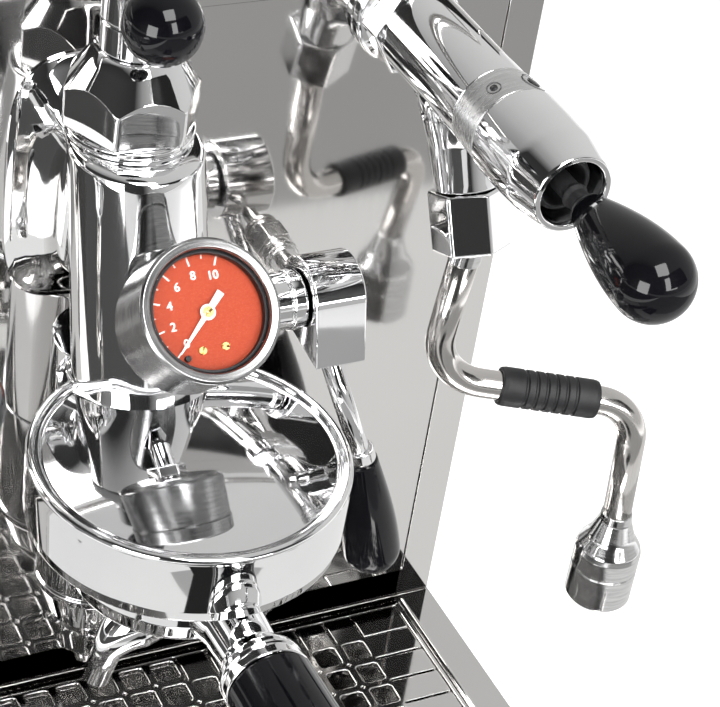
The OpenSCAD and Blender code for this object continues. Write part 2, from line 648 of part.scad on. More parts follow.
base_pan();
feet();
front_panel();
side_panel_left();
side_panel_right();
rear_panel();
top_plate();
cup_rail();
splash_ledge();
power_bezel();
power_rocker();
power_inlet();
case_screws();
drip_tray();
drip_grate();
water_tank();
tank_lid();
boiler();
boiler_brackets();
heating_element();
safety_valve();
pump();
control_box();
copper_pipes();
group_body();
group_bell();
cap_nut();
flow_hub();
flow_knob();
group_gasket();
shower_screen();
lower_chamber();
drain_pipe();
cam_housing();
lever_hub();
lever_rod();
lever_handle();
switch_bush();
switch_plunger();
gauge_fitting();
gauge_case();
gauge_dial();
gauge_needle();
gauge_glass();
portafilter_body();
filter_basket();
portafilter_spout();
portafilter_handle();
valve_right();
valve_left();
outlet_nuts();
valve_boots();
joystick_right();
joystick_left();
wand_right();
wand_left();
wand_grip_right();
wand_grip_left();
wand_nozzle_right();
wand_nozzle_left();
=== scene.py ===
"""Looks for the espresso machine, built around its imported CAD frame."""
import json
import math

import bmesh
import bpy
from mathutils import Matrix, Vector

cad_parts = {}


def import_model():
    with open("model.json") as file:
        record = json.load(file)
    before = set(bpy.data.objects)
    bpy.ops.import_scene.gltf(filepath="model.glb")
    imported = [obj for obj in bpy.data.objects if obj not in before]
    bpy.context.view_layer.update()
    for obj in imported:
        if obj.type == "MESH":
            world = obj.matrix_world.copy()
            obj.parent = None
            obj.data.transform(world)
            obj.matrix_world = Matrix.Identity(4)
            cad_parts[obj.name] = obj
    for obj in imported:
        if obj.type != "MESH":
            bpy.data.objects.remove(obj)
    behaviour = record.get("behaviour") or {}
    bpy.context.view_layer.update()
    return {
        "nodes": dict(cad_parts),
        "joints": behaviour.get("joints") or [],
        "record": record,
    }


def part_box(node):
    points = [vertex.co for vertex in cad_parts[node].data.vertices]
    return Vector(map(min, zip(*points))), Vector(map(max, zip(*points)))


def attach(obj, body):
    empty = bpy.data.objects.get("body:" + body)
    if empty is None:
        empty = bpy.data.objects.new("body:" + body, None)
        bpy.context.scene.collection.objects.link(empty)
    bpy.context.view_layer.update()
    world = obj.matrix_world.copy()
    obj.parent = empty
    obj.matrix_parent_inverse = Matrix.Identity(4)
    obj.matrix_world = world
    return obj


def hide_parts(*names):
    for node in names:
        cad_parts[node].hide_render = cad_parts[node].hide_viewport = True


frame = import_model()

# ---------------- frame
# Lengths below are millimetres, measured from the front panel's face and the deck.
MM = 0.001
PANEL_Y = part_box("front_panel")[0].y
DECK_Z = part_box("drip_tray")[1].z
JOINTS = {j["name"]: j for j in frame["joints"]}
ROOT = "machine"
REPLACED = set()
TINY = 1e-6


def at(x, y, z):
    """A point given from the panel's face and the deck, in the row frame."""
    return Vector((x * MM, PANEL_Y + y * MM, DECK_Z + z * MM))


def local(point):
    """A row-frame point, from the panel's face and the deck, in millimetres."""
    return Vector((point[0] / MM, (point[1] - PANEL_Y) / MM, (point[2] - DECK_Z) / MM))


def joint_at(name):
    return local(JOINTS[name]["pos_m"])


def node_box(name):
    low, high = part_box(name)
    return local(low), local(high)


X, Y, Z = Vector((1, 0, 0)), Vector((0, 1, 0)), Vector((0, 0, 1))
BELL = joint_at("portafilter_turn")
CAP = joint_at("flow_turn")
CAM = joint_at("lever_turn")
FACE = joint_at("needle_turn")
WAND_BALL = joint_at("wand_right_swivel")
STICK = joint_at("joystick_right_tilt")
OUTLET_START = Vector((STICK.x, -38, STICK.z))
BELL_LOW, BELL_TOP = (corner.z for corner in node_box("group_bell"))
BELL_R = node_box("group_bell")[1].x


# ---------------- materials
class NodeTree:
    """Short ways to add and link nodes."""

    def __init__(self, tree):
        self.tree = tree

    def node(self, kind, **settings):
        made = self.tree.nodes.new(kind)
        for key, value in settings.items():
            if hasattr(made, key):
                setattr(made, key, value)
            else:
                made.inputs[key.replace("_", " ")].default_value = value
        return made

    def link(self, start, end):
        self.tree.links.new(start, end)

    def ramp(self, value, stops):
        made = self.node("ShaderNodeValToRGB")
        while len(made.color_ramp.elements) < len(stops):
            made.color_ramp.elements.new(0.5)
        for element, (place, colour) in zip(made.color_ramp.elements, stops):
            element.position = place
            element.color = (*colour, 1)
        self.link(value, made.inputs["Fac"])
        return made.outputs["Color"]


class Shader(NodeTree):
    """A material on the Principled shader."""

    def __init__(self, name, **sockets):
        self.material = bpy.data.materials.new(name)
        self.material.use_nodes = True
        super().__init__(self.material.node_tree)
        self.bsdf = self.tree.nodes["Principled BSDF"]
        for key, value in sockets.items():
            self.bsdf.inputs[key.replace("_", " ")].default_value = value

    def coordinates(self, scale=(1, 1, 1), source="Object"):
        texture = self.node("ShaderNodeTexCoord")
        mapping = self.node("ShaderNodeMapping", Scale=scale)
        self.link(texture.outputs[source], mapping.inputs["Vector"])
        return mapping.outputs["Vector"]

    def noise(self, scale, detail=3.0, stretch=(1, 1, 1), source="Object"):
        made = self.node("ShaderNodeTexNoise", Scale=scale, Detail=detail)
        self.link(self.coordinates(stretch, source), made.inputs["Vector"])
        return made.outputs["Fac"]

    def rough(self, value, low, high):
        made = self.node("ShaderNodeMapRange", To_Min=low, To_Max=high)
        self.link(value, made.inputs["Value"])
        self.link(made.outputs["Result"], self.bsdf.inputs["Roughness"])

    def tint(self, value, stops):
        self.link(self.ramp(value, stops), self.bsdf.inputs["Base Color"])

    def bump(self, value, depth, strength=1.0):
        made = self.node("ShaderNodeBump", Distance=depth, Strength=strength)
        self.link(value, made.inputs["Height"])
        self.link(made.outputs["Normal"], self.bsdf.inputs["Normal"])


def surface(name, colours, rough, bump, **sockets):
    """Noise that drives a material's colour, roughness and bump.
    colours: noise scale and detail, then the ramp's stops. rough: scale, detail, low, high.
    bump: scale, detail, depth in metres, strength."""
    shader = Shader(name, **sockets)
    shader.tint(shader.noise(*colours[:2]), colours[2:])
    shader.rough(shader.noise(*rough[:2]), *rough[2:])
    shader.bump(shader.noise(*bump[:2]), *bump[2:])
    return shader.material


def moulded(name, dark, light, low=0.35, high=0.5):
    return surface(name, (60, 4, (0.3, dark), (0.7, light)), (400, 3, low, high), (1800, 3, 0.00004, 0.35))


def metal(name, dark, light, low, high):
    return surface(name, (25, 5, (0.3, dark), (0.7, light)), (400, 4, low, high),
                   (800, 3, 0.00002, 0.3), Metallic=1.0)


def polished_sheet():
    """Mirror-polished sheet with a faint vertical grain."""
    shader = Shader("polished_sheet", Metallic=1.0)
    shader.tint(shader.noise(5, 3), [(0.3, (0.66, 0.65, 0.64)), (0.7, (0.73, 0.72, 0.71))])
    shader.rough(shader.noise(500, 3, (1, 1, 0.03)), 0.035, 0.085)
    shader.bump(shader.noise(900, 2, (1, 1, 0.01)), 0.000004, 0.25)
    return shader.material


def turned_steel(name, low=0.16, high=0.30, shade=0.33, scale=1400):
    """Brushed metal whose lines run round the piece, from its own UV map."""
    shader = Shader(name, Metallic=1.0)
    lines = shader.noise(scale, 4, (0.004, 1, 1), "UV")
    shader.tint(lines, [(0.3, (shade - 0.09,) * 3), (0.7, (shade + 0.06,) * 3)])
    shader.rough(lines, low, high)
    shader.bump(lines, 0.00002, 0.35)
    return shader.material


def tube_steel():
    """Drawn stainless tube: lines along its length and a little warmth."""
    shader = Shader("wand_steel", Metallic=1.0)
    lines = shader.noise(900, 3, (1, 0.01, 1), "UV")
    shader.tint(lines, [(0.25, (0.58, 0.56, 0.54)), (0.75, (0.70, 0.68, 0.66))])
    shader.rough(lines, 0.09, 0.19)
    shader.bump(lines, 0.00001, 0.2)
    return shader.material


def dial_print():
    """Matt orange print with fine speckle."""
    shader = Shader("dial_orange", Specular_IOR_Level=0.25)
    speckle = shader.noise(2600, 2)
    shader.tint(speckle, [(0.35, (0.31, 0.036, 0.010)), (0.5, (0.345, 0.043, 0.013)),
                          (0.68, (0.38, 0.056, 0.019))])
    shader.rough(shader.noise(900, 2), 0.5, 0.7)
    shader.bump(speckle, 0.00001, 0.3)
    return shader.material


def clear_glass():
    shader = Shader("gauge_glass", Transmission_Weight=1.0, IOR=1.2, Alpha=0.12)
    shader.rough(shader.noise(120, 3), 0.0, 0.03)
    shader.tint(shader.noise(20, 2), [(0, (0.97, 0.98, 0.98)), (1, (1, 1, 1))])
    return shader.material


# By slot name, and three more that only some pieces of a slot wear
MATERIALS = {
    "chrome": surface("chrome_plate", (18, 4, (0.3, (0.80, 0.80, 0.81)), (0.7, (0.88, 0.88, 0.88))),
                      (60, 5, 0.02, 0.065), (9, 1, 0.00005, 0.25), Metallic=1.0),
    "polished_steel": polished_sheet(),
    "gauge_steel": turned_steel("gauge_steel"),
    "satin": turned_steel("satin_band", 0.22, 0.32, 0.66, 700),
    "nozzle": turned_steel("nozzle_steel", 0.07, 0.17, 0.64, 900),
    "wand_steel": tube_steel(),
    "gloss_black": surface("gloss_black", (30, 4, (0.3, (0.002, 0.002, 0.003)), (0.8, (0.006, 0.006, 0.007))),
                           (240, 5, 0.03, 0.09), (700, 2, 0.000008, 0.2), IOR=1.36),
    "rubber": surface("matt_rubber", (140, 5, (0.3, (0.005, 0.005, 0.006)), (0.75, (0.013, 0.013, 0.014))),
                      (300, 4, 0.42, 0.62), (1500, 4, 0.00003, 0.4), Specular_IOR_Level=0.35),
    "matte_black": moulded("matt_black", (0.010, 0.010, 0.011), (0.022, 0.022, 0.023)),
    "tank_plastic": moulded("tank_plastic", (0.62, 0.65, 0.67), (0.74, 0.76, 0.78), 0.2, 0.35),
    "copper": metal("copper", (0.55, 0.25, 0.14), (0.78, 0.42, 0.27), 0.2, 0.4),
    "brass": metal("brass", (0.60, 0.40, 0.13), (0.83, 0.60, 0.25), 0.18, 0.36),
    "steel_rail": metal("bright_steel", (0.58, 0.57, 0.56), (0.70, 0.69, 0.68), 0.12, 0.25),
    "heater_steel": metal("heater_steel", (0.20, 0.18, 0.16), (0.42, 0.40, 0.37), 0.35, 0.55),
    "screw_steel": metal("screw_steel", (0.16, 0.16, 0.17), (0.30, 0.30, 0.31), 0.25, 0.4),
    "pump_grey": moulded("pump_paint", (0.10, 0.11, 0.12), (0.17, 0.18, 0.19)),
    "dial_orange": dial_print(),
    "needle_white": moulded("dial_white", (0.80, 0.80, 0.78), (0.90, 0.90, 0.88), 0.4, 0.55),
    "glass": clear_glass(),
}
NODE_SLOT = {part["node"]: part["material_slot"] for part in frame["record"]["subparts"]}


# ---------------- mesh tools
def unit(v):
    return v / v.length


def polar(radius, degrees):
    angle = math.radians(degrees)
    return radius * math.cos(angle), radius * math.sin(angle)


def ring_faces(rows, sides, closed=False):
    """Quads between rows of points; each row is a closed ring."""
    return [(i * sides + k, i * sides + (k + 1) % sides, (i + 1) % rows * sides + (k + 1) % sides,
             (i + 1) % rows * sides + k) for i in range(rows if closed else rows - 1) for k in range(sides)]


def end_faces(rows, sides):
    """The faces that close the first and the last ring."""
    return [list(range(sides))[::-1], [(rows - 1) * sides + k for k in range(sides)]]


def cross_frame(axis):
    """Two directions square to an axis, the first as level as it can be."""
    axis = unit(axis)
    side = axis.cross(Z) if abs(axis.z) < 0.9 else Y.cross(axis)
    side = unit(side)
    return side, unit(axis.cross(side))


def corner_arc(a, b, c, radius, steps=10, share=0.48):
    """One corner of a path, as points on an arc that is tangent to both legs.
    share is how much of the shorter leg the arc may use."""
    p, q = unit(a - b), unit(c - b)
    half = math.acos(max(-1.0, min(1.0, p.dot(q)))) / 2
    cut = min(radius / math.tan(half), share * min((a - b).length, (c - b).length))
    arc = cut * math.tan(half)
    middle, side = unit(p + q), unit(p - q)
    centre = b + middle * arc / math.sin(half)
    sweep_half = math.pi / 2 - half
    return [centre - arc * (middle * math.cos(t) + side * math.sin(t))
            for t in (sweep_half * (2 * k / steps - 1) for k in range(steps + 1))]


def round_path(points, radius, steps=10):
    points = [Vector(p) for p in points]
    made = [points[0]]
    for a, b, c in zip(points, points[1:], points[2:]):
        made += corner_arc(a, b, c, radius, steps)
    return made + [points[-1]]


def rounded(points, radius=0.5, steps=4, closed=False):
    """A profile with its corners rounded. A point may carry its own radius as a third number.
    A support point beside each arc keeps the long stretches flat when shaded smooth."""
    pts = [Vector(p[:2]) for p in points]
    share, straight = 0.45, math.cos(math.radians(176))
    made = []
    for i, b in enumerate(pts):
        a, c = pts[i - 1], pts[(i + 1) % len(pts)]
        own = points[i][2] if len(points[i]) > 2 else radius
        inner = closed or 0 < i < len(pts) - 1
        if not inner or own <= 0 or unit(a - b).dot(unit(c - b)) < straight:
            made.append(b)
            continue
        arc = corner_arc(a, b, c, own, steps, share)
        reach = share * min((a - b).length, (c - b).length)
        support = min((arc[0] - b).length * 1.25 + 0.05, reach * 1.05)
        made += [b + unit(a - b) * support, *arc, b + unit(c - b) * support]
    return made


def put_in_scene(name, data):
    made = bpy.data.objects.new(name, data)
    bpy.context.scene.collection.objects.link(made)
    return made


def finish_mesh(name, mesh, body, slot, stands_for=(), material=None):
    made = put_in_scene(name, mesh)
    mesh.materials.append(MATERIALS[material or slot])
    mesh.polygons.foreach_set("use_smooth", [True] * len(mesh.polygons))
    mesh.update()
    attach(made, body)
    if stands_for:
        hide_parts(*stands_for)
        REPLACED.update(stands_for)
    return made


def from_lists(name, verts, faces, body, slot, stands_for=(), material=None, uvs=None):
    """A piece from vertices in local millimetres; uvs are given per vertex."""
    mesh = bpy.data.meshes.new(name)
    mesh.from_pydata([at(*v) for v in verts], [], faces)
    if uvs:
        layer = mesh.uv_layers.new(name="UVMap")
        for loop in mesh.loops:
            layer.data[loop.index].uv = uvs[loop.vertex_index]
    mesh.validate()
    box = bmesh.new()
    box.from_mesh(mesh)
    bmesh.ops.remove_doubles(box, verts=box.verts, dist=1e-7)
    bmesh.ops.recalc_face_normals(box, faces=box.faces)
    box.to_mesh(mesh)
    box.free()
    return finish_mesh(name, mesh, body, slot, stands_for, material)


def lathe(name, profile, base, axis, body=ROOT, slot="chrome", stands_for=(), material=None,
          sides=96, closed=False):
    """A turned piece. The profile is (radius, distance along the axis) in millimetres."""
    axis = unit(axis)
    side, up = cross_frame(axis)
    verts, uvs, length = [], [], 0.0
    for i, point in enumerate(profile):
        if i:
            length += (Vector(point[:2]) - Vector(profile[i - 1][:2])).length
        for k in range(sides):
            angle = 2 * math.pi * k / sides
            offset = (side * math.cos(angle) + up * math.sin(angle)) * max(point[0], 0)
            verts.append(base + axis * point[1] + offset)
            uvs.append((2 * k / sides if k <= sides / 2 else 2 - 2 * k / sides, length * MM))
    faces = ring_faces(len(profile), sides, closed)
    if not closed:
        ends = zip(end_faces(len(profile), sides), (profile[0], profile[-1]))
        faces += [face for face, point in ends if point[0] > TINY]
    return from_lists(name, verts, faces, body, slot, stands_for, material, uvs)


def sweep(name, path, radius, body=ROOT, slot="chrome", stands_for=(), material=None, sides=40,
          closed=False):
    """A round tube along a path of local points. The radius may be a number or a list."""
    count = len(path)
    radii = radius if isinstance(radius, list) else [radius] * count
    tangents = []
    for i in range(count):
        before = path[i - 1] if i or closed else path[i]
        after = path[(i + 1) % count] if i < count - 1 or closed else path[i]
        tangents.append(unit(after - before))
    normal = unit(tangents[0].orthogonal())
    verts, uvs, length = [], [], 0.0
    for i in range(count):
        if i:
            normal = unit(normal - tangents[i] * normal.dot(tangents[i]))
            length += (path[i] - path[i - 1]).length
        other = tangents[i].cross(normal)
        for k in range(sides):
            angle = 2 * math.pi * k / sides
            verts.append(path[i] + radii[i] * (normal * math.cos(angle) + other * math.sin(angle)))
            uvs.append((k / sides, length * MM))
    faces = ring_faces(count, sides, closed) + ([] if closed else end_faces(count, sides))
    return from_lists(name, verts, faces, body, slot, stands_for, material, uvs)


def prism(name, outline, base, along, height, body=ROOT, slot="chrome", stands_for=(), material=None,
          bevel=0.4, up=None, steps=3):
    """An outline, given across an axis, pushed along it, with its edges rounded."""
    along = unit(along)
    side, other = cross_frame(along) if up is None else (unit(up.cross(along)), unit(up))
    verts = [base + side * p[0] + other * p[1] for p in outline]
    verts += [v + along * height for v in verts]
    faces = end_faces(2, len(outline)) + ring_faces(2, len(outline))
    soften(from_lists(name, verts, faces, body, slot, stands_for, material), bevel, steps)


def soften(piece, width, steps=3, angle=25):
    """Rounded edges that keep the faces between them flat."""
    edge = piece.modifiers.new("rounded_edges", "BEVEL")
    edge.width = width * MM
    edge.segments = steps
    edge.limit_method = "ANGLE"
    edge.angle_limit = math.radians(angle)
    edge.harden_normals = True
    edge.use_clamp_overlap = True


def mirrored(point, side):
    return Vector((point[0] * side, point[1], point[2]))


def drop_profile(length, big, neck, power=1.5, steps=40):
    """Half outline of a teardrop that swells from its neck into a ball."""
    made = [(0, 0), (neck * 0.8, 0)]
    body = length - big
    for i in range(1, steps):
        s = body * i / steps
        made.append((neck + (big - neck) * math.sin(math.pi / 2 * s / body) ** power, s))
    ball = [polar(big, 90 * i / steps) for i in range(steps + 1)]
    return made + [(across, body + along) for across, along in ball]


def hexagon(across_flats, turn=0.0):
    return [polar(across_flats / math.sqrt(3), 60 * k + turn) for k in range(6)]


# ---------------- camera
LENS = 117.5
EYE = at(-241.35, -563.91, 602.75)
VIEW_RIGHT = Vector((0.8922, -0.4321, 0.1321))
VIEW_UP = Vector((0.1627, 0.5801, 0.7983))


def camera():
    data = bpy.data.cameras.new("camera")
    data.lens = LENS
    data.sensor_width = 36
    data.clip_end = 50
    made = put_in_scene("camera", data)
    right = unit(VIEW_RIGHT)
    up = unit(VIEW_UP - right * VIEW_UP.dot(right))
    turn = Matrix((right, up, right.cross(up))).transposed().to_4x4()
    made.matrix_world = Matrix.Translation(EYE) @ turn
    bpy.context.scene.camera = made


camera()


# ---------------- case
def dress_cad_nodes():
    """CAD pieces that no new piece stands for: a material, and softly rounded sheet edges."""
    for name in (node for node in NODE_SLOT if node not in REPLACED):
        piece = frame["nodes"][name]
        piece.data.materials.clear()
        piece.data.materials.append(MATERIALS[NODE_SLOT[name]])
        weld = piece.modifiers.new("weld", "WELD")
        weld.merge_threshold = 0.00001
        soften(piece, 0.35, 2, 35)


def feet():
    low, high = node_box("feet")
    inset, height = 19, high.z - low.z - 1.5
    profile = rounded([(0, 0), (18, 0, 1.2), (18.8, 3, 1), (19, 7.8, 1.5), (14.2, 9.5, 2),
                       (12.4, height - 0.5, 1), (12, height, 0.5), (0, height)], 1)
    places = [(x, y) for x in (low.x + inset, high.x - inset) for y in (low.y + inset, high.y - inset)]
    for i, (x, y) in enumerate(places):
        lathe(f"foot_{i + 1}", [(min(r, inset), t) for r, t in profile], Vector((x, y, low.z)), Z, ROOT,
              "rubber", ["feet"], sides=64)


def cup_rail():
    low, high = node_box("cup_rail")
    r = 3.0
    z = high.z - r
    corners = [Vector((x, y, z)) for x, y in ((low.x + r, low.y + r), (high.x - r, low.y + r),
                                              (high.x - r, high.y - r), (low.x + r, high.y - r))]
    path = []
    for i, b in enumerate(corners):
        path += corner_arc(corners[i - 1], b, corners[(i + 1) % 4], 14, 12)
    sweep("cup_rail_bar", path, r, ROOT, "steel_rail", ["cup_rail"], sides=28, closed=True)
    for side, x in (("left", low.x + r), ("right", high.x - r)):
        for i, y in enumerate((low.y + r + 30, (low.y + high.y) / 2, high.y - r - 30)):
            height = z - low.z
            profile = rounded([(0, 0), (4.2, 0, 0.4), (4.2, 1.6, 0.5), (2.2, 2.2, 0.4),
                               (2.2, height - 1, 0), (0, height - 1)], 0.3)
            lathe(f"cup_rail_post_{side}_{i + 1}", profile, Vector((x, y, low.z)), Z, ROOT,
                  "steel_rail", sides=32)


def splash_ledge():
    low, high = node_box("splash_ledge")
    depth = high.y - low.y
    outline = [(0, 0), (depth, 0)] + [(depth / 2 + depth / 2 * math.cos(t), high.z - low.z - depth / 2
               + depth / 2 * math.sin(t)) for t in (math.pi * k / 12 for k in range(13))]
    prism("splash_ledge", outline, Vector((low.x, high.y, low.z)), X, high.x - low.x, ROOT,
          "polished_steel", ["splash_ledge"], bevel=0.15, up=Z)


def drip_grate():
    """A plate with rows of rounded square holes and one short row at the back."""
    low, high = node_box("drip_grate")
    pitch, hole, corner = 12.0, 9.0, 1.7
    cols, rows, first, short = 9, 12, -23.6, 3
    ring = []
    for quarter, (a, b) in enumerate(((1, 1), (-1, 1), (-1, -1), (1, -1))):
        for k in range(6):
            x, y = polar(corner, 90 * quarter + 18 * k)
            ring.append((a * (hole / 2 - corner) + x, b * (hole / 2 - corner) + y))
    edge = [(x * pitch / 2 / max(abs(x), abs(y)), y * pitch / 2 / max(abs(x), abs(y)))
            for x, y in ring]
    box = bmesh.new()

    def vertex(x, y):
        return box.verts.new(at(x, y, high.z))

    def cell(cx, cy, reach):
        """A hole and the plate round it; reach is how far the plate goes behind its centre."""
        inner = [vertex(cx + x, cy + y) for x, y in ring]
        outer = [vertex(cx + x, cy + (min(y, reach) if y > pitch / 2 - TINY else y)) for x, y in edge]
        for k in range(len(ring)):
            m = (k + 1) % len(ring)
            if (inner[k].co - inner[m].co).length > 1e-7:
                box.faces.new((inner[k], outer[k], outer[m], inner[m]))

    def strip(cx, start, end):
        row = sorted({round(x, 6) for x, y in edge if abs(y - pitch / 2) < TINY})
        for a, b in zip(row, row[1:]):
            box.faces.new((vertex(cx + a, start), vertex(cx + b, start),
                           vertex(cx + b, end), vertex(cx + a, end)))

    for i in range(-cols, cols + 1):
        cx = i * pitch
        for j in range(rows):
            cell(cx, first - j * pitch, pitch / 2)
        if abs(i) <= short:
            cell(cx, first + pitch, high.y - first - pitch)
        else:
            strip(cx, first + pitch / 2, high.y)
        strip(cx, first - (rows - 0.5) * pitch, low.y)
    column = sorted({round(y, 6) for x, y in edge if abs(x - pitch / 2) < TINY})
    for side, far in ((1, high.x), (-1, low.x)):
        start = side * (cols + 0.5) * pitch
        pairs = [(first - j * pitch + a, first - j * pitch + b) for j in range(rows)
                 for a, b in zip(column, column[1:])]
        pairs += [(first + pitch / 2, high.y), (low.y, first - (rows - 0.5) * pitch)]
        for a, b in pairs:
            box.faces.new((vertex(start, a), vertex(far, a), vertex(far, b), vertex(start, b)))
    bmesh.ops.remove_doubles(box, verts=box.verts, dist=2e-6)
    bmesh.ops.recalc_face_normals(box, faces=box.faces)
    made = bmesh.ops.extrude_face_region(box, geom=box.faces[:])
    bmesh.ops.translate(box, verts=[v for v in made["geom"] if isinstance(v, bmesh.types.BMVert)],
                        vec=Z * (low.z - high.z) * MM)
    bmesh.ops.recalc_face_normals(box, faces=box.faces)
    mesh = bpy.data.meshes.new("drip_grate")
    box.to_mesh(mesh)
    box.free()
    piece = finish_mesh("drip_grate_plate", mesh, "drip_grate", "polished_steel", ["drip_grate"])
    soften(piece, 0.45, 2, 40)


# ---------------- brew group
COLUMN_TOP = 240.0
COLUMN_EDGE = 2.6
SOCKET_R = 18.6
# Height, y and radius at the leaning shaft's two ends
SHAFT_TOP, SHAFT_FOOT = Vector((232.5, -27.0, 20.5)), Vector((162.5, -46.0, 21.5))
DOME_CURVE = 470.0


def skin(name, rings, body=ROOT, slot="chrome", stands_for=(), material=None):
    """A closed piece from rings that all have the same number of points."""
    count = len(rings[0])
    verts = [p for ring in rings for p in ring]
    faces = ring_faces(len(rings), count) + end_faces(len(rings), count)
    return from_lists(name, verts, faces, body, slot, stands_for, material)


def casting():
    """Column that leans forward on its way down, with the socket for the lower chamber."""
    foot_z, fillet, sides = 165.5, 4.5, 96
    heights = [foot_z + fillet * (1 - math.cos(math.radians(9 * k))) for k in range(11)]
    length = COLUMN_TOP - COLUMN_EDGE - foot_z - fillet
    heights += [foot_z + fillet + length * k / 30 for k in range(1, 31)]
    heights += [COLUMN_TOP - COLUMN_EDGE * (1 - math.sin(math.radians(9 * k))) for k in range(1, 11)]
    rings = []
    for z in heights:
        shaft = SHAFT_FOOT + (SHAFT_TOP - SHAFT_FOOT) * (z - SHAFT_FOOT[0]) / (SHAFT_TOP[0] - SHAFT_FOOT[0])
        climb = max(0.0, (z - COLUMN_TOP) / COLUMN_EDGE + 1)
        shoulder = 1 - math.sqrt(max(0.0, 1 - climb ** 2))
        centre = shaft[1] + (CAP.y - shaft[1]) * shoulder
        radius = shaft[2] + (SOCKET_R - shaft[2]) * shoulder
        rise = min(1.0, (z - foot_z) / fillet)
        radius += fillet * (1 - math.sqrt(max(0.0, 1 - (1 - rise) ** 2)))
        around = [polar(radius, 360 * k / sides) for k in range(sides)]
        rings.append([Vector((x, centre + y, z)) for x, y in around])
    skin("group_column", rings, ROOT, "chrome", ["group_body"])
    socket = rounded([(0, 112), (18, 112, 0.3), (SOCKET_R, 112.6, 0.4), (SOCKET_R, 166), (0, 166)], 0.4)
    lathe("group_socket", socket, Vector((0, CAP.y, 0)), Z)
    ring = rounded([(0, 0), (18.5, 0, 0.2), (19.0, 1.6, 0.3), (19.3, 2.1, 0.4), (19.0, 2.7, 0.3),
                    (19.5, 3.3, 0.4), (19.4, 4.6, 0.6), (18.4, 5.1, 0.4), (0, 5.1)], 0.3)
    lathe("group_collar", ring, Vector((0, CAP.y, COLUMN_TOP - 1)), Z)
    neck_sections()


def neck_sections():
    """The neck that flares from the column back to the panel."""
    stations = [(-18, 18.2, 187, 239), (-14, 18.8, 186, 240), (-10, 20.4, 184, 243),
                (-7, 22.8, 181, 246), (-4.4, 25.6, 177, 250), (-2.4, 28.4, 173, 254),
                (-1.0, 30.2, 170, 257), (-0.05, 30.8, 169, 258)]
    sides, power, rings = 96, 0.52, []
    for y, half, bottom, top in stations:
        ring = []
        for k in range(sides):
            c, s = polar(1, 360 * k / sides)
            ring.append(Vector((half * math.copysign(abs(c) ** power, c), y, (top + bottom) / 2
                                + (top - bottom) / 2 * math.copysign(abs(s) ** power, s))))
        rings.append(ring)
    skin("group_neck", rings)


def bell():
    """A low polished dome inside a rolled rim."""
    crown, rim = BELL_R - 3.2, 1.6
    edge_z = BELL_TOP - 1.8
    profile = [(crown * k / 24, edge_z + (crown ** 2 - (crown * k / 24) ** 2) / DOME_CURVE)
               for k in range(25)]
    profile += [(BELL_R - rim + x, BELL_TOP - rim + y)
                for x, y in (polar(rim, a) for a in range(165, -16, -12))]
    profile += rounded([(BELL_R - 0.1, BELL_TOP - 2.4), (BELL_R, BELL_TOP - 5, 3),
                        (BELL_R - 0.2, BELL_LOW + 4, 3), (BELL_R - 0.9, BELL_LOW, 0.9),
                        (37.6, BELL_LOW, 0.6), (37.6, BELL_TOP - 7.5, 0.6), (0, BELL_TOP - 7.5)], 1, 6)
    lathe("bell_dome", profile, Vector((0, BELL.y, 0)), Z, ROOT, "chrome", ["group_bell"], sides=160)


def cap_nut():
    """A hexagon with rounded corners whose top is turned to a cone, so each flat ends in an arch."""
    low, high = node_box("cap_nut")
    reach, top, shoulder, cone = 21.2, 12.0, 11.2, 13.5
    height = high.z - low.z
    slope = (reach - top) / cone
    coarse = rounded(hexagon(reach * math.sqrt(3), -4.2), 2.2, 6, closed=True)
    outline = []
    for i, b in enumerate(coarse):
        a = coarse[i - 1]
        pieces = max(1, round((b - a).length / 1.6))
        outline += [a + (b - a) * k / pieces for k in range(1, pieces + 1)]
    centre = Vector((0, CAP.y, low.z))

    def level(shrink, height_of):
        ring = []
        for p in outline:
            r = p.length
            crease = shoulder + (reach - r) / slope
            z = height_of(crease)
            kept = min(r - shrink, reach - slope * (z - shoulder)) if z > shoulder else r - shrink
            ring.append(centre + Vector((*(p / r * kept), z)))
        return ring

    rings = [level(0.7, lambda c: 0), level(0.15, lambda c: 0.2), level(0, lambda c: 0.8)]
    rings += [level(0, lambda c, f=f: 0.8 + (c - 0.8) * f) for f in (0.3, 0.6, 0.9)]
    rings += [level(0, lambda c: c - 0.3), level(0.02, lambda c: c - 0.08), level(0.02, lambda c: c + 0.08),
              level(0, lambda c: c + 0.3)]
    rings += [level(0, lambda c, f=f: c + (height - 0.6 - c) * f) for f in (0.35, 0.7, 1.0)]
    inner = [centre + Vector((*(unit(p) * (top - 0.5)), height)) for p in outline]
    skin("cap_nut_body", rings + [inner], ROOT, "chrome", ["cap_nut"])


def flow_control():
    low, high = node_box("flow_hub")
    base = Vector((0, CAP.y, low.z))
    height = high.z - low.z
    r = 11.2
    profile = rounded([(0, 0), (r, 0, 0.6), (r, 9, 0.3), (r - 0.3, 9.4, 0.2), (r - 0.3, 10, 0.2),
                       (r, 10.4, 0.3), (r, height - 3, 1.2), (8, height, 1), (3, height, 0.4),
                       (2.4, height - 0.8, 0.2), (0, height - 0.8)])
    lathe("flow_hub_body", profile, base, Z, "flow_control", "chrome", ["flow_hub"])
    k_low, k_high = node_box("flow_knob")
    ball = (k_low + k_high) / 2
    radius = (k_high.y - k_low.y) / 2
    start = Vector((0, CAP.y, ball.z))
    out = unit(ball - start)
    reach = (ball - start).length
    arm = rounded([(0, 8), (4.4, 8, 0.3), (4.4, 13.4, 0.5), (3.4, 14, 0.3), (3.4, reach - 4, 0.2),
                   (0, reach - 4)], 0.4)
    lathe("flow_arm", arm, start, out, "flow_control", "chrome", sides=48)
    outline = [polar(radius, 3.75 * i - 90) for i in range(49)]
    lathe("flow_knob_ball", outline, ball, out, "flow_control", "gloss_black", ["flow_knob"])


